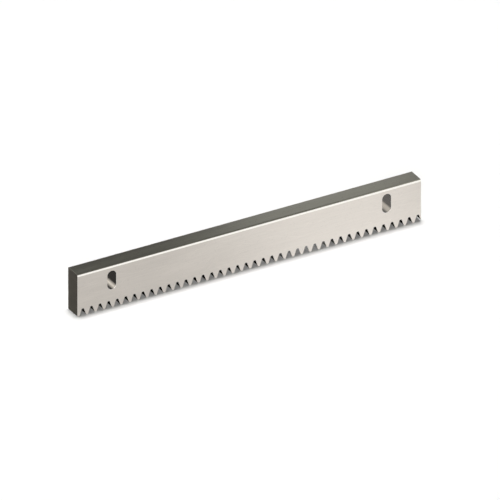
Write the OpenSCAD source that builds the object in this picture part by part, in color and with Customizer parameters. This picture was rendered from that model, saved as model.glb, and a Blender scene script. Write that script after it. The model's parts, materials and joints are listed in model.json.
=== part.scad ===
// Straight gear rack cut from a rectangular steel bar, with two upright fixing slots.
// X runs along the rack, Y through its thickness, and Z up from the tooth tips to the plain back edge.
// The origin is under the middle of the bar, on the plane of the tooth tips.
// The bar is a whole number of pitches long, so racks laid end to end keep the pitch across the joint.

/* [Teeth] */
// Module of the teeth, in millimetres: the pitch divided by pi
tooth_module = 2; // [1.5:0.25:3]
// Length of the rack, counted in tooth pitches
pitch_count = 40; // [20:1:60]
// Pressure angle, the slope of each flank, in degrees
pressure_angle = 20; // [14.5:0.5:20]
// Height of a tooth outside the pitch line, in modules
addendum_factor = 1; // [0.8:0.05:1]
// Depth of a gap inside the pitch line, in modules
dedendum_factor = 1.4; // [1.2:0.05:1.4]
// Radius of the fillets at the bottom of a gap, in modules
fillet_factor = 0.1; // [0.05:0.01:0.38]
// How much wider than half a pitch a gap is on the pitch line, as play for the pinion
tooth_thinning = 0.25; // [0:0.05:0.4]

/* [Bar] */
// Height of the bar from the tooth tips to the back edge
bar_height = 30; // [26:0.5:50]
// Thickness of the bar
bar_thickness = 12; // [8:0.5:20]
// Radius of the rounding along the front edge of the plain back
front_edge_round = 1.6; // [0.3:0.1:3]
// Radius of the rounding along the rear edge of the plain back
rear_edge_round = 0.3; // [0.1:0.1:1.5]
// Width of the bevel around each sawn end
end_edge_break = 0.1; // [0.05:0.05:1]
// How far inside the flank of a tooth each end is cut, measured on the plane of the tooth tips
end_cut = 0.1; // [0:0.05:0.4]

/* [Fixing slots] */
// Width of a slot, which clears an M6 screw
slot_width = 6.5; // [4.5:0.5:8.5]
// Distance between the centres of a slot's two round ends
slot_travel = 7; // [3:0.5:9]
// Distance from each end of the rack to the nearer slot, in pitches
slot_end_pitches = 4; // [2:1:8]
// Distance from the back edge down to the middle of a slot
slot_drop = 10.5; // [8:0.5:12]

/* [Hidden] */
slot_facets = 64;
edge_facets = 64;
fillet_steps = 6;
past = 1;

pitch = PI * tooth_module;
rack_length = pitch_count * pitch;
half_length = rack_length / 2;
half_thickness = bar_thickness / 2;

tip_z = 0;
pitch_line_z = addendum_factor * tooth_module;
root_z = pitch_line_z + dedendum_factor * tooth_module;

// Half the width of a gap at a height above the tooth tips
function gap_half_width(z) =
    pitch / 4 + tooth_thinning / 2 - (z - pitch_line_z) * tan(pressure_angle);

// Each end of the bar cuts the left flank of a tooth, so the flank carries on across a joint
first_gap_x = -half_length + end_cut + pitch - gap_half_width(tip_z);

// A fillet touches the flank and the flat bottom of a gap, which meet at 90 degrees plus the pressure angle
fillet_sweep = 90 - pressure_angle;
fillet_r = min(fillet_factor * tooth_module, gap_half_width(root_z) / tan(fillet_sweep / 2));
fillet_centre_x = gap_half_width(root_z) - fillet_r * tan(fillet_sweep / 2);
fillet_centre_z = root_z - fillet_r;

slot_x = half_length - slot_end_pitches * pitch;
slot_z = bar_height - slot_drop;

// Right half of a gap's outline, from the middle of its bottom down the flank and past the tooth tip
function half_gap() = [
    for (i = [0 : fillet_steps])
        let (turn = 90 - fillet_sweep * i / fillet_steps)
        [fillet_centre_x + fillet_r * cos(turn), fillet_centre_z + fillet_r * sin(turn)],
    [gap_half_width(tip_z - past), tip_z - past]
];

// Whole outline of a gap about its centre line, from left to right
function gap_outline() = let (right = half_gap(), last = len(right) - 1) concat(
    [for (i = [0 : last]) [-right[last - i][0], right[last - i][1]]],
    right
);

// Side view of the bar: gaps cut from below, and the plain back above with its end corners bevelled.
// The gap beyond the left end takes off the foot of the end, down the flank that the end cuts.
module side_profile() {
    difference() {
        polygon([
            [-half_length, tip_z],
            [half_length, tip_z],
            [half_length, bar_height - end_edge_break],
            [half_length - end_edge_break, bar_height],
            [-half_length + end_edge_break, bar_height],
            [-half_length, bar_height - end_edge_break]
        ]);
        for (k = [-1 : pitch_count - 1])
            translate([first_gap_x + k * pitch, 0])
                polygon(gap_outline());
    }
}

// The waste outside a rounded upper left corner, with the sharp corner at the origin
module corner_waste(radius) {
    difference() {
        translate([-past, -radius])
            square(radius + past);
        translate([radius, -radius])
            circle(r = radius, $fn = edge_facets);
    }
}

// Bar section along X, with Y to the right and Z up. Only the two long edges of the back are rounded.
module bar_section() {
    rotate([90, 0, 90])
        linear_extrude(height = rack_length + 2 * past, center = true)
            difference() {
                translate([-half_thickness, -past])
                    square([bar_thickness, bar_height + past]);
                translate([-half_thickness, bar_height])
                    corner_waste(front_edge_round);
                translate([half_thickness, bar_height])
                    mirror([1, 0])
                        corner_waste(rear_edge_round);
            }
}

// Plan view of the bar, with the upright edges of both ends bevelled
module bar_plan() {
    l = half_length;
    t = half_thickness;
    b = end_edge_break;
    translate([0, 0, -past])
        linear_extrude(height = bar_height + 2 * past)
            polygon([
                [-l, -t + b], [-l + b, -t], [l - b, -t], [l, -t + b],
                [l, t - b], [l - b, t], [-l + b, t], [-l, t - b]
            ]);
}

// Upright slot right through the thickness, with two round ends
module fixing_slot(x) {
    depth = bar_thickness + 2 * past;
    for (side = [-1, 1])
        translate([x, 0, slot_z + side * slot_travel / 2])
            rotate([90, 0, 0])
                cylinder(h = depth, d = slot_width, center = true, $fn = slot_facets);
    translate([x, 0, slot_z])
        cube([slot_width, depth, slot_travel], center = true);
}

module rack() {
    color("silver")
        difference() {
            intersection() {
                rotate([90, 0, 0])
                    linear_extrude(height = bar_thickness, center = true)
                        side_profile();
                bar_section();
                bar_plan();
            }
            for (x = [-slot_x, slot_x]) fixing_slot(x);
        }
}

rack();
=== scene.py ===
"""A straight gear rack standing on its tooth tips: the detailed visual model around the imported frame.

Everything is in metres. X runs along the rack, Y through its thickness, Z up from the tooth tips.
The bar's own sizes come from the frame. The tooth form is the standard one for its module.
"""

import json
import math

import bpy
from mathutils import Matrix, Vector, geometry


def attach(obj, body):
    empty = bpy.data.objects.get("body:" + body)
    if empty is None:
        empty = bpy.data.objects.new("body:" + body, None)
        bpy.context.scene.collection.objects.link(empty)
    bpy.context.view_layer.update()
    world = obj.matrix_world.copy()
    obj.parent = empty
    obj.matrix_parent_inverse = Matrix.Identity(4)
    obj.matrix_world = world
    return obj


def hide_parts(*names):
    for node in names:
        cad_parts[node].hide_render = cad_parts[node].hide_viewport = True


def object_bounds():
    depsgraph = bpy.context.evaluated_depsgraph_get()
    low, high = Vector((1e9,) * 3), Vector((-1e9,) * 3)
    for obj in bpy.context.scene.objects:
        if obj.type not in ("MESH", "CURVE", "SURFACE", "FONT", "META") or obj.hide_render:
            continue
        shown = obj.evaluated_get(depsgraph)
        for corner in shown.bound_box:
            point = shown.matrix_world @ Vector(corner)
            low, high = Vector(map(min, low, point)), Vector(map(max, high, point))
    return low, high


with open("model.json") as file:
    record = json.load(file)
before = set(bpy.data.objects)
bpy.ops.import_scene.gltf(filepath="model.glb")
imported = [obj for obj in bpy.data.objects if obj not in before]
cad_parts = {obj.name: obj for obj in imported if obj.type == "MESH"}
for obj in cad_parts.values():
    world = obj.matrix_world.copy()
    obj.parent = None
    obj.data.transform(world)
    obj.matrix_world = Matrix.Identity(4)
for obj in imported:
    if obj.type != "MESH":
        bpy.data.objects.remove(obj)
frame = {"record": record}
cad_low, cad_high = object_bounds()

MM = 0.001

# ---------------------------------------------------------------- sizes

LENGTH = cad_high.x - cad_low.x
THICKNESS = cad_high.y - cad_low.y
HEIGHT = cad_high.z - cad_low.z
LEFT, RIGHT = cad_low.x, cad_high.x
HALF_THICKNESS = THICKNESS / 2

PITCH_COUNT = 40
PITCH = LENGTH / PITCH_COUNT
MODULE = PITCH / math.pi
PRESSURE_ANGLE = math.radians(20)
PITCH_LINE_Z = MODULE
# Depth of a gap inside the pitch line, and the fillets at its bottom
DEDENDUM = 1.4 * MODULE
ROOT_Z = PITCH_LINE_Z + DEDENDUM
ROOT_FILLET = 0.1 * MODULE
# How much wider than half a pitch a gap is on the pitch line
TOOTH_THINNING = 0.25 * MM
# How far inside the flank of a tooth the bar is cut off, measured at the tips
END_CUT = 0.1 * MM

# The long edges of the plain back, at the front and at the rear
ROUND_FRONT = 1.6 * MM
BREAK_BACK = 0.3 * MM
# The edges of the sawn ends, upright and along the top
BREAK_END = 0.12 * MM
BREAK_END_TOP = 0.05 * MM
# Where the teeth and the slots meet the two large faces
BREAK_TOOTH = 0.08 * MM
BREAK_SLOT = 0.12 * MM
# How far the corners of the teeth are rounded in the side view
ROUND_TIP = 0.15 * MM
SMALLEST_ROUND = 0.04 * MM

# Steps across a broken edge, and round an upper corner of the bar
EDGE_STEPS = 8
CORNER_STEPS = 6
# Steps round the corners of the side view, and round each end of a slot
SHALLOW_STEPS = 2
TIP_STEPS = 3
ROOT_STEPS = 5
END_FOOT_STEPS = 8
SLOT_STEPS = 20
# Points nearer than this are one point, and the tolerance for cutting a face into triangles
SAME_POINT = 0.001 * MM
TRIANGLE_TOLERANCE = 1e-9

# The regions of the surface, in the order of the piece's material slots
REGIONS = ["ground_side", "drawn_back_painted_shade", "sawn_end_painted_shade", "cut_tooth_painted_shade", "milled_slot_painted_shade", "broken_edge_painted_highlight"]
# Walls whose painted shade, a dark copy of the steel, reaches half way over their edges
PAINTED_SHADE_OVER_EDGES = ("drawn_back_painted_shade", "sawn_end_painted_shade")


# ---------------------------------------------------------------- outlines in the XZ plane


def gap_half_width(z):
    """Half the width of a tooth gap at a height above the tips."""
    return PITCH / 4 + TOOTH_THINNING / 2 - (z - PITCH_LINE_Z) * math.tan(PRESSURE_ANGLE)


def toothed_corners():
    """The side view's sharp corners along the toothed edge, from left to right.

    Each is a point, the radius and the steps of its rounding, and the break and the region of the
    edge that follows it.
    """
    tip = gap_half_width(0.0)
    root = gap_half_width(ROOT_Z)
    first_gap = LEFT + END_CUT + PITCH - tip
    cut_z = END_CUT / math.tan(PRESSURE_ANGLE)
    corners = [
        ((LEFT, cut_z), SMALLEST_ROUND, SHALLOW_STEPS, BREAK_END, "cut_tooth_painted_shade"),
        ((LEFT + END_CUT, 0.0), SMALLEST_ROUND, TIP_STEPS, BREAK_TOOTH, "cut_tooth_painted_shade"),
    ]
    for k in range(PITCH_COUNT):
        x = first_gap + k * PITCH
        corners += [
            ((x - tip, 0.0), ROUND_TIP, TIP_STEPS, BREAK_TOOTH, "cut_tooth_painted_shade"),
            ((x - root, ROOT_Z), ROOT_FILLET, ROOT_STEPS, BREAK_TOOTH, "cut_tooth_painted_shade"),
            ((x + root, ROOT_Z), ROOT_FILLET, ROOT_STEPS, BREAK_TOOTH, "cut_tooth_painted_shade"),
            ((x + tip, 0.0), ROUND_TIP, TIP_STEPS, BREAK_TOOTH, "cut_tooth_painted_shade"),
        ]
    # the last gap runs out at the right end
    corners[-1] = ((RIGHT, cut_z), ROUND_TIP / 2, END_FOOT_STEPS, BREAK_END, "sawn_end_painted_shade")
    return corners


def offset_corner(before, here, after, inset_before, inset_after):
    """Where the two edges at a corner meet once each has moved inwards, to the left of the path."""
    d1 = (here - before).normalized()
    d2 = (after - here).normalized()
    p1 = here + Vector((-d1.y, d1.x)) * inset_before
    p2 = here + Vector((-d2.y, d2.x)) * inset_after
    cross = d1.x * d2.y - d1.y * d2.x
    gap = p2 - p1
    return p1 + d1 * ((gap.x * d2.y - gap.y * d2.x) / cross)


def corner_arc(before, here, after, insets, radius, steps):
    """A rounded corner between two inset edges, as points with outward normals."""
    d1 = (here - before).normalized()
    d2 = (after - here).normalized()
    convex = d1.x * d2.y - d1.y * d2.x > 0
    side = 1 if convex else -1
    centre = offset_corner(before, here, after, insets[0] + side * radius, insets[1] + side * radius)
    n1 = math.atan2(-d1.x, d1.y)
    turn = math.atan2(d1.x * d2.y - d1.y * d2.x, d1.dot(d2))
    points = []
    for i in range(steps + 1):
        angle = n1 + turn * i / steps
        normal = Vector((math.cos(angle), math.sin(angle)))
        points.append((centre + normal * (side * radius), normal))
    return points


# ---------------------------------------------------------------- columns of points across the bar
#
# The skin is a row of columns. A column runs from the front face, over the front edge, across the
# thickness and over the back edge to the back face. It is kept as its front half, its back half, each
# from the flat face outwards as points with normals, and the region of the wall that follows it.


def straight_column(outer, inner, normal, width, region):
    """A column over an edge that is broken alike on both faces."""
    halves = []
    for face in (-1, 1):
        half = []
        for k in range(EDGE_STEPS + 1):
            turn = math.pi / 2 * k / EDGE_STEPS
            flat = inner.lerp(outer, math.sin(turn))
            y = face * (HALF_THICKNESS - width * (1 - math.cos(turn)))
            bend = normal * math.sin(turn)
            point = Vector((flat.x, y, flat.y))
            half.append((point, Vector((bend.x, face * math.cos(turn), bend.y))))
        halves.append(half)
    return halves[0], halves[1], region


def toothed_columns():
    """Columns along the toothed edge, from the foot of the left end to the foot of the right end."""
    corners = toothed_corners()
    points = [Vector(corner[0]) for corner in corners]
    before_all = Vector((LEFT, HEIGHT))
    after_all = Vector((RIGHT, HEIGHT))
    columns = []
    for i, (_, radius, steps, break_after, region) in enumerate(corners):
        here = points[i]
        before = points[i - 1] if i else before_all
        after = points[i + 1] if i + 1 < len(points) else after_all
        break_before = corners[i - 1][3] if i else BREAK_END
        d1, d2 = here - before, after - here
        if d1.x * d2.y - d1.y * d2.x > 0:
            inner_radius = max(radius - max(break_before, break_after), SMALLEST_ROUND)
        else:
            inner_radius = radius + (break_before + break_after) / 2
        outer = corner_arc(before, here, after, (0, 0), radius, steps)
        inner = corner_arc(before, here, after, (break_before, break_after), inner_radius, steps)
        for k in range(steps + 1):
            width = break_before + (break_after - break_before) * k / steps
            columns.append(straight_column(outer[k][0], inner[k][0], outer[k][1], width, region))
    return columns


def back_corner(side, face, up, out):
    """A point on an upper corner of the bar, with its normal.

    up turns from the flat face (0) to the top, round the long edge. out turns from the bar's length (0)
    to its end, round the break of the end. side and face are the signs of X and Y.
    """
    round_edge = ROUND_FRONT if face < 0 else BREAK_BACK
    end_edge = BREAK_END + (BREAK_END_TOP - BREAK_END) * math.sin(up)
    drop = end_edge * (1 - math.cos(out))
    point = Vector((
        side * (RIGHT - end_edge * (1 - math.sin(out))),
        face * (HALF_THICKNESS - round_edge * (1 - math.cos(up)) - drop * math.cos(up)),
        HEIGHT - round_edge * (1 - math.sin(up)) - drop * math.sin(up),
    ))
    normal = Vector((
        side * math.sin(out),
        face * math.cos(out) * math.cos(up),
        math.cos(out) * math.sin(up),
    ))
    return point, normal


def corner_columns(side):
    """Columns round an upper corner: up the end beside the long edge, then over the end's top break."""
    quarter = math.pi / 2
    steps = range(CORNER_STEPS + 1)
    targets = [(quarter * j / CORNER_STEPS, quarter, "sawn_end_painted_shade") for j in steps[:-1]]
    targets += [(quarter, quarter * (1 - j / CORNER_STEPS), "drawn_back_painted_shade") for j in steps]
    columns = []
    for up, out, region in targets:
        turns = [(up * k / EDGE_STEPS, out * k / EDGE_STEPS) for k in range(EDGE_STEPS + 1)]
        front, back = ([back_corner(side, face, *turn) for turn in turns] for face in (-1, 1))
        columns.append((front, back, region))
    if side < 0:
        # walked the other way, a column is followed by the wall that came before it
        columns.reverse()
        regions = [column[2] for column in columns[1:]] + ["sawn_end_painted_shade"]
        columns = [(front, back, region) for (front, back, _), region in zip(columns, regions)]
    return columns


def slot_columns(mount):
    """Columns round a slot, clockwise, so the metal is on the left of the path as on the outline."""
    centre = Vector((mount["pos_m"][0], mount["pos_m"][2]))
    radius = mount["dims"]["hole_r_mm"] * MM
    half_travel = mount["dims"]["slot_length_mm"] * MM / 2 - radius
    columns = []
    for side in (1, -1):
        end = centre + Vector((0, side * half_travel))
        for k in range(SLOT_STEPS + 1):
            angle = math.radians(90 * (1 - side)) + math.pi * (1 - k / SLOT_STEPS)
            ray = Vector((math.cos(angle), math.sin(angle)))
            outer = end + ray * radius
            inner = end + ray * (radius + BREAK_SLOT)
            columns.append(straight_column(outer, inner, -ray, BREAK_SLOT, "milled_slot_painted_shade"))
    return columns


# ---------------------------------------------------------------- the rack's mesh


class Skin:
    """The points, normals, faces and regions of one mesh. Points at the same place become one."""

    def __init__(self):
        self.points, self.normals, self.faces, self.regions = [], [], [], []
        self.known = {}

    def add_point(self, point, normal):
        key = tuple(round(value / SAME_POINT) for value in point)
        if key not in self.known:
            self.known[key] = len(self.points)
            self.points.append(point)
            self.normals.append(normal)
        return self.known[key]

    def add_face(self, corners, region):
        corners = [c for i, c in enumerate(corners) if c != corners[i - 1]]
        if len(corners) > 2:
            self.faces.append(tuple(corners))
            self.regions.append(region)


def add_walls(skin, columns):
    """The strips between neighbouring columns. An edge gets a painted highlight, a pale copy of the
    steel, but for its half beside a wall with painted shade.

    Gives back the two loops of points where the walls meet the large faces.
    """
    lines = []
    for front, back, _ in columns:
        lines.append([skin.add_point(*p) for p in front + back[::-1]])
    last = len(lines[0]) - 1
    for i, (_, _, region) in enumerate(columns):
        here, after = lines[i], lines[(i + 1) % len(lines)]
        for k in range(last):
            from_face = min(k, last - 1 - k)
            # painted highlight on the edge steps, and painted shade on the half beside a dark wall
            painted_highlight_steps = EDGE_STEPS / 2 if region in PAINTED_SHADE_OVER_EDGES else EDGE_STEPS
            finish = "broken_edge_painted_highlight" if from_face < painted_highlight_steps else region
            skin.add_face((here[k + 1], after[k + 1], after[k], here[k]), finish)
    return [line[0] for line in lines], [line[-1] for line in lines]


def add_face_plate(skin, loops, flip):
    """One large flat face inside the outline and outside the slots, cut into triangles."""
    flat, owner, edges = [], [], []
    for n, loop in enumerate(loops):
        loop = [p for i, p in enumerate(loop) if p != loop[i - 1]]
        start = len(flat)
        edges += [(start + i, start + (i + 1) % len(loop)) for i in range(len(loop))]
        flat += loop
        owner += [n] * len(loop)
    where = [Vector((skin.points[i].x, skin.points[i].z)) for i in flat]
    cut = geometry.delaunay_2d_cdt(where, edges, [], 1, TRIANGLE_TOLERANCE)
    triangles, source_points = cut[2], cut[3]
    for triangle in triangles:
        sources = [source_points[v][0] for v in triangle]
        if len({owner[s] for s in sources}) == 1 and owner[sources[0]] > 0:
            continue  # the triangle lies inside a slot
        corners = [flat[s] for s in sources]
        a, b, c = (skin.points[i] for i in corners)
        anticlockwise = (b.x - a.x) * (c.z - a.z) - (b.z - a.z) * (c.x - a.x) > 0
        if anticlockwise == flip:
            corners.reverse()
        skin.add_face(corners, "ground_side")


def build_rack():
    """One closed mesh with true edge breaks all round, and a normal worked out for every point."""
    mounts = {m["name"]: m for m in frame["record"]["mounts"]}
    skin = Skin()
    front_loops, back_loops = [], []
    outline = toothed_columns() + corner_columns(1) + corner_columns(-1)
    for columns in (outline, slot_columns(mounts["slot_left"]), slot_columns(mounts["slot_right"])):
        front, back = add_walls(skin, columns)
        front_loops.append(front)
        back_loops.append(back)
    add_face_plate(skin, front_loops, False)
    add_face_plate(skin, back_loops, True)
    mesh = bpy.data.meshes.new("gear_rack")
    mesh.from_pydata([tuple(p) for p in skin.points], [], skin.faces)
    for polygon, region in zip(mesh.polygons, skin.regions):
        polygon.use_smooth = True
        polygon.material_index = REGIONS.index(region)
    mesh.normals_split_custom_set_from_vertices([tuple(n.normalized()) for n in skin.normals])
    mesh.update()
    piece = bpy.data.objects.new("gear_rack", mesh)
    bpy.context.scene.collection.objects.link(piece)
    return piece


# ---------------------------------------------------------------- materials

# Noise lies around 0.5, and nearly all of it between these two
NOISE_RANGE = (0.3, 0.7)
# The peaks of the noise that make pits and scratches, from where they begin to where they are full
PIT_PEAKS = (0.62, 0.68)
SCRATCH_PEAKS = (0.70, 0.73)
PIT_CELLS = (900, 900, 900)
# Detail and roughness of each kind of noise
LINE_NOISE = (4.0, 0.6)
CLOUD_NOISE = (3.0, 0.55)
PIT_NOISE = (2.0, 0.5)
SCRATCH_NOISE = (1.0, 0.4)
SCRATCH_DEPTH = 0.01 * MM
GRAIN_STRENGTH = 0.6
SCRATCH_STRENGTH = 0.5
# How far the broad clouds raise or lower the roughness
ROUGHNESS_SWING = 0.03


def new_material(name):
    material = bpy.data.materials.new(name)
    material.use_nodes = True
    return material, material.node_tree, material.node_tree.nodes["Principled BSDF"]


def link(tree, output, target):
    tree.links.new(output, target)


def stretched_noise(tree, scale, detail, roughness, tilt=0.0):
    """Noise over the object's own coordinates, with a scale for each axis and tilted about Y."""
    coords = tree.nodes.new("ShaderNodeTexCoord")
    turned = tree.nodes.new("ShaderNodeVectorRotate")
    turned.rotation_type = "Y_AXIS"
    turned.inputs["Angle"].default_value = math.radians(tilt)
    mapping = tree.nodes.new("ShaderNodeMapping")
    mapping.inputs["Scale"].default_value = scale
    noise = tree.nodes.new("ShaderNodeTexNoise")
    noise.inputs["Scale"].default_value = 1.0
    noise.inputs["Detail"].default_value = detail
    noise.inputs["Roughness"].default_value = roughness
    link(tree, coords.outputs["Object"], turned.inputs["Vector"])
    link(tree, turned.outputs["Vector"], mapping.inputs["Vector"])
    link(tree, mapping.outputs["Vector"], noise.inputs["Vector"])
    return noise.outputs["Fac"]


def ramp(tree, value, span, colours):
    """Maps a span of a value to two colours, and holds them outside it."""
    node = tree.nodes.new("ShaderNodeValToRGB")
    for element, position, colour in zip(node.color_ramp.elements, span, colours):
        element.position = position
        element.color = (*colour, 1)
    link(tree, value, node.inputs["Fac"])
    return node.outputs["Color"]


def spread(tree, value, low, high):
    """Maps noise around 0.5 to a range."""
    node = tree.nodes.new("ShaderNodeMapRange")
    node.inputs["From Min"].default_value = NOISE_RANGE[0]
    node.inputs["From Max"].default_value = NOISE_RANGE[1]
    node.inputs["To Min"].default_value = low
    node.inputs["To Max"].default_value = high
    link(tree, value, node.inputs["Value"])
    return node.outputs["Result"]


def multiply(tree, a, b):
    node = tree.nodes.new("ShaderNodeMix")
    node.data_type = "RGBA"
    node.blend_type = "MULTIPLY"
    node.inputs["Factor"].default_value = 1.0
    link(tree, a, node.inputs["A"])
    link(tree, b, node.inputs["B"])
    return node.outputs["Result"]


def bump(tree, height, distance, strength, normal=None):
    node = tree.nodes.new("ShaderNodeBump")
    node.inputs["Distance"].default_value = distance
    node.inputs["Strength"].default_value = strength
    link(tree, height, node.inputs["Height"])
    if normal is not None:
        link(tree, normal, node.inputs["Normal"])
    return node.outputs["Normal"]


def greys(tree, value, span, levels):
    """Maps a span of a value to two levels of grey, and holds them outside it."""
    return ramp(tree, value, span, [(level,) * 3 for level in levels])


def steel(name, colour, roughness, grain, grain_depth, tone,
          cloud, specks=0.0, scratches=()):
    """Bare steel with a worked grain: its colour and height follow the same fine lines.

    tone is how far the lines and the broad clouds darken or lighten it, and the clouds change its
    roughness. Specks are small dark pits. Each scratch set is the scale of its cells, its tilt about Y
    and how much it lightens the steel.
    """
    material, tree, shader = new_material(name)
    lines = stretched_noise(tree, grain, *LINE_NOISE)
    clouds = stretched_noise(tree, cloud, *CLOUD_NOISE)
    darker = [c * (1 - tone) for c in colour]
    lighter = [c * (1 + tone) for c in colour]
    base = ramp(tree, lines, NOISE_RANGE, (darker, lighter))
    base = multiply(tree, base, greys(tree, clouds, NOISE_RANGE, (1 - tone, 1.0)))
    if specks:
        pits = stretched_noise(tree, PIT_CELLS, *PIT_NOISE)
        base = multiply(tree, base, greys(tree, pits, PIT_PEAKS, (1.0, 1 - specks)))
    rough = spread(tree, clouds, roughness - ROUGHNESS_SWING, roughness + ROUGHNESS_SWING)
    normal = bump(tree, lines, grain_depth, GRAIN_STRENGTH)
    for scale, tilt, gain in scratches:
        marks = stretched_noise(tree, scale, *SCRATCH_NOISE, tilt)
        base = multiply(tree, base, greys(tree, marks, SCRATCH_PEAKS, (1.0, 1 + gain)))
        groove = greys(tree, marks, SCRATCH_PEAKS, (1.0, 0.0))
        normal = bump(tree, groove, SCRATCH_DEPTH, SCRATCH_STRENGTH, normal)
    link(tree, base, shader.inputs["Base Color"])
    link(tree, rough, shader.inputs["Roughness"])
    link(tree, normal, shader.inputs["Normal"])
    shader.inputs["Metallic"].default_value = 1.0
    return material


def rack_materials():
    """The finishes in the order of REGIONS. The dark top, ends, tooth flanks and slot walls are painted
    shade, and the pale broken edges are a painted highlight.
    """
    handling = [((45, 45, 2600), 4, 0.07), ((60, 60, 2200), -13, 0.06), ((90, 90, 2400), 38, 0.05)]
    drawing = [((30, 2600, 30), 0, 0.25)]
    return [
        steel("ground_side", (0.69, 0.65, 0.605), 0.36, grain=(60, 60, 2600), grain_depth=0.006 * MM,
              tone=0.035, cloud=(18, 60, 90), specks=0.05, scratches=handling),
        # painted shade: the top of the bar is a much darker copy of the same steel
        steel("drawn_back_painted_shade", (0.146, 0.143, 0.119), 0.36, grain=(40, 1800, 40), grain_depth=0.01 * MM,
              tone=0.08, cloud=(16, 160, 160), specks=0.30, scratches=drawing),
        # painted shade: the ends of the bar are a much darker copy of the same steel
        steel("sawn_end_painted_shade", (0.138, 0.126, 0.103), 0.42, grain=(40, 60, 2200), grain_depth=0.03 * MM,
              tone=0.12, cloud=(200, 60, 300), specks=0.20),
        # painted shade: the tooth flanks and gap roots are a near-black copy of the same steel, for the
        # shade between the teeth
        steel("cut_tooth_painted_shade", (0.12, 0.113, 0.105), 0.22, grain=(3000, 60, 3000), grain_depth=0.008 * MM,
              tone=0.08, cloud=(400, 40, 400), specks=0.10),
        # painted shade: the slot walls are a near-black copy of the same steel, for the shade inside
        # the slots
        steel("milled_slot_painted_shade", (0.099, 0.091, 0.080), 0.26, grain=(2400, 80, 2400), grain_depth=0.01 * MM,
              tone=0.08, cloud=(500, 60, 500), specks=0.10),
        # painted highlight: the broken edges are a paler copy of the same steel, so they read as a
        # bright line
        steel("broken_edge_painted_highlight", (0.86, 0.84, 0.80), 0.30, grain=(400, 400, 400), grain_depth=0.004 * MM,
              tone=0.04, cloud=(30, 30, 30)),
    ]


# ---------------------------------------------------------------- the piece

rack = build_rack()
for material in rack_materials():
    rack.data.materials.append(material)
# The glows below stand for what the metal sees of the bar itself, so the bar is left out of reflections
rack.visible_glossy = False
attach(rack, "root")
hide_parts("rack")

# ---------------------------------------------------------------- floor

FLOOR_REACH = 60.0


def build_floor():
    """A wide pale floor. The glows stand for it in the metal, so it is left out of reflections too."""
    mesh = bpy.data.meshes.new("floor")
    corners = [(x * FLOOR_REACH, y * FLOOR_REACH, 0) for x, y in ((-1, -1), (1, -1), (1, 1), (-1, 1))]
    mesh.from_pydata(corners, [], [(0, 1, 2, 3)])
    floor = bpy.data.objects.new("floor", mesh)
    bpy.context.scene.collection.objects.link(floor)
    material, tree, shader = new_material("floor")
    shader.inputs["Base Color"].default_value = (0.86, 0.86, 0.85, 1)
    shader.inputs["Roughness"].default_value = 0.9
    shader.inputs["Specular IOR Level"].default_value = 0.0
    mesh.materials.append(material)
    floor.visible_glossy = False
    floor.visible_shadow = False


build_floor()

# ---------------------------------------------------------------- camera

CAMERA_AZIMUTH = math.radians(-29.84)
CAMERA_ELEVATION = math.radians(29.13)
FRAME_WIDTH = 0.31728
# Where the picture's centre lies from the middle of the bar, to the right and down in the picture
AIM_RIGHT = 3.45 * MM
AIM_DOWN = 3.85 * MM
CAMERA_DISTANCE = 1.5
CLIP_NEAR, CLIP_FAR = 0.05, 200


def build_camera():
    data = bpy.data.cameras.new("camera")
    data.type = "ORTHO"
    data.ortho_scale = FRAME_WIDTH
    camera = bpy.data.objects.new("camera", data)
    bpy.context.scene.collection.objects.link(camera)
    away = Vector((
        math.sin(CAMERA_AZIMUTH) * math.cos(CAMERA_ELEVATION),
        -math.cos(CAMERA_AZIMUTH) * math.cos(CAMERA_ELEVATION),
        math.sin(CAMERA_ELEVATION),
    ))
    turn = (-away).to_track_quat("-Z", "Y")
    right = turn @ Vector((1, 0, 0))
    up = turn @ Vector((0, 1, 0))
    middle = (cad_low + cad_high) / 2
    camera.location = middle + right * AIM_RIGHT - up * AIM_DOWN + away * CAMERA_DISTANCE
    camera.rotation_mode = "QUATERNION"
    camera.rotation_quaternion = turn
    data.clip_start, data.clip_end = CLIP_NEAR, CLIP_FAR
    bpy.context.scene.camera = camera


build_camera()

# ---------------------------------------------------------------- light


def add_lamp(name, kind, power, towards):
    """A lamp whose back is turned towards a direction."""
    data = bpy.data.lights.new(name, kind)
    data.energy = power
    lamp = bpy.data.objects.new(name, data)
    bpy.context.scene.collection.objects.link(lamp)
    lamp.rotation_mode = "QUATERNION"
    lamp.rotation_quaternion = Vector(towards).to_track_quat("Z", "Y")
    return lamp


def sun(name, azimuth, elevation, power, angle):
    """A distant lamp for the floor, unseen by the metal.

    It is seen from the object at an azimuth (0 is behind the object, +Y) and an elevation.
    """
    a, e = math.radians(azimuth), math.radians(elevation)
    towards = (math.sin(a) * math.cos(e), math.cos(a) * math.cos(e), math.sin(e))
    lamp = add_lamp(name, "SUN", power, towards)
    lamp.data.angle = math.radians(angle)
    lamp.visible_glossy = False


def softbox(name, place, aim, size, power):
    """A rectangular lamp for the metal, unseen by the floor and the camera, turned towards a point."""
    lamp = add_lamp(name, "AREA", power, Vector(place) - Vector(aim))
    lamp.data.shape = "RECTANGLE"
    lamp.data.size, lamp.data.size_y = size
    lamp.location = place
    lamp.visible_diffuse = False
    lamp.visible_camera = False


def fade(tree, value, low, high, strength=1.0):
    """Rises smoothly from nothing at low to full strength at high, or falls where high is the lower."""
    node = tree.nodes.new("ShaderNodeMapRange")
    node.interpolation_type = "SMOOTHSTEP"
    node.inputs["From Min"].default_value = low
    node.inputs["From Max"].default_value = high
    node.inputs["To Max"].default_value = strength
    link(tree, value, node.inputs["Value"])
    return node.outputs["Result"]


def arithmetic(tree, operation, a, b):
    """A sum or product of a node's value with a number or with another node's value."""
    node = tree.nodes.new("ShaderNodeMath")
    node.operation = operation
    link(tree, a, node.inputs[0])
    if isinstance(b, float):
        node.inputs[1].default_value = b
    else:
        link(tree, b, node.inputs[1])
    return node.outputs["Value"]


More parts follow.
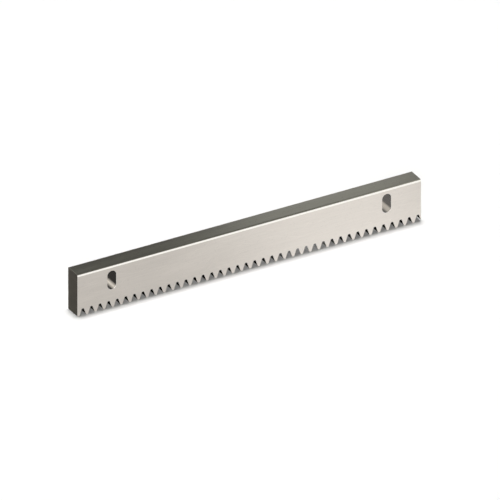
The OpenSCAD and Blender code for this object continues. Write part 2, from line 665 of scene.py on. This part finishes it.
def glow(tree, direction, inner, outer, strength):
    """Light from round one direction, full inside one angle from it and gone past another."""
    coords = tree.nodes.new("ShaderNodeTexCoord")
    along = tree.nodes.new("ShaderNodeVectorMath")
    along.operation = "DOT_PRODUCT"
    along.inputs[1].default_value = Vector(direction).normalized()
    link(tree, coords.outputs["Generated"], along.inputs[0])
    edge, core = (math.cos(math.radians(angle)) for angle in (outer, inner))
    return fade(tree, along.outputs["Value"], edge, core, strength)


def horizon(tree, strength):
    """A pale band all round, from a little below the horizon to a little above it."""
    coords = tree.nodes.new("ShaderNodeTexCoord")
    parts = tree.nodes.new("ShaderNodeSeparateXYZ")
    link(tree, coords.outputs["Generated"], parts.inputs["Vector"])
    height = parts.outputs["Z"]
    rise = fade(tree, height, *BAND_FOOT)
    fall = fade(tree, height, *BAND_TOP, strength)
    return arithmetic(tree, "MULTIPLY", rise, fall)


# Each glow of the surroundings: its direction, inner angle, outer angle and strength
GLOWS = [
    ((0.43, -0.76, -0.49), 28, 60, 0.43),  # pale table in front
    ((-0.38, -0.68, -0.63), 25, 42, 0.85),  # brighter table at the camera's side
    ((0.43, -0.81, 0.40), 20, 45, 0.60),  # softbox in front
    ((0.43, -0.10, 0.89), 20, 50, 0.42),  # grey ceiling
    ((-0.455, 0.758, 0.468), 0, 50, 4.40),  # large soft source behind, at the left
    ((0.60, 0.72, -0.34), 12, 34, 0.40),  # table behind, at the right
    ((0.05, 0.72, -0.69), 18, 38, -0.17),  # the bar's own shadow on the table
]
AMBIENT = 0.18
# The pale band round the horizon: its strength, and the heights between which it grows from nothing
# to full, going up from below and going down from above
BAND = 0.34
BAND_FOOT = (-0.36, -0.18)
BAND_TOP = (0.50, 0.28)
WORLD_COLOUR = (1.0, 0.99, 0.97, 1)
# Just enough for the camera to see every channel of the world as full white
SEEN_STRENGTH = 1.1

# Distant lamps: name, azimuth and elevation, power, angle across
SUNS = [
    ("overhead", 22, 82.9, 3.24, 16.2),
    ("front_fill", 210, 29, 1.05, 20),
]
# Softboxes: name, place, aim, size, power
SOFTBOXES = [
    ("key", (0.171, -0.195, -0.107), (0.063, -0.006, 0.015), (0.13, 0.11), 0.026),
    ("rim", (0.168, 0.19, 0.152), (0.06, 0, 0.03), (0.13, 0.11), 0.055),
    ("overhead_right", (0.25, -0.03, 0.25), (0.14, -0.006, 0.03), (0.14, 0.14), 0.16),
    ("slot_left_light", (-0.235, 0.22, 0.155), (-0.1, 0.0, 0.02), (0.12, 0.12), 0.125),
    ("slot_left_fill", (-0.152, 0.091, -0.04), (-0.1, 0.0, 0.02), (0.06, 0.06), 0.0014),
    ("slot_right_light", (0.048, 0.091, -0.04), (0.1, 0.0, 0.02), (0.06, 0.06), 0.009),
]


def build_world():
    """The studio as the bare metal reflects it, plain white where it is seen past the floor.

    The floor is lit by the lamps alone.
    """
    world = bpy.data.worlds.new("studio")
    world.use_nodes = True
    tree = world.node_tree
    total = horizon(tree, BAND)
    for direction, inner, outer, strength in GLOWS:
        total = arithmetic(tree, "ADD", total, glow(tree, direction, inner, outer, strength))
    total = arithmetic(tree, "ADD", total, AMBIENT)
    path = tree.nodes.new("ShaderNodeLightPath")
    seen = tree.nodes.new("ShaderNodeMix")
    seen.inputs["B"].default_value = SEEN_STRENGTH
    link(tree, path.outputs["Is Camera Ray"], seen.inputs["Factor"])
    link(tree, total, seen.inputs["A"])
    link(tree, seen.outputs["Result"], tree.nodes["Background"].inputs["Strength"])
    tree.nodes["Background"].inputs["Color"].default_value = WORLD_COLOUR
    world.cycles_visibility.diffuse = False
    bpy.context.scene.world = world


build_world()
for lamp_values in SUNS:
    sun(*lamp_values)
for lamp_values in SOFTBOXES:
    softbox(*lamp_values)

bpy.context.scene.view_settings.view_transform = "Standard"
bpy.context.scene.view_settings.look = "None"
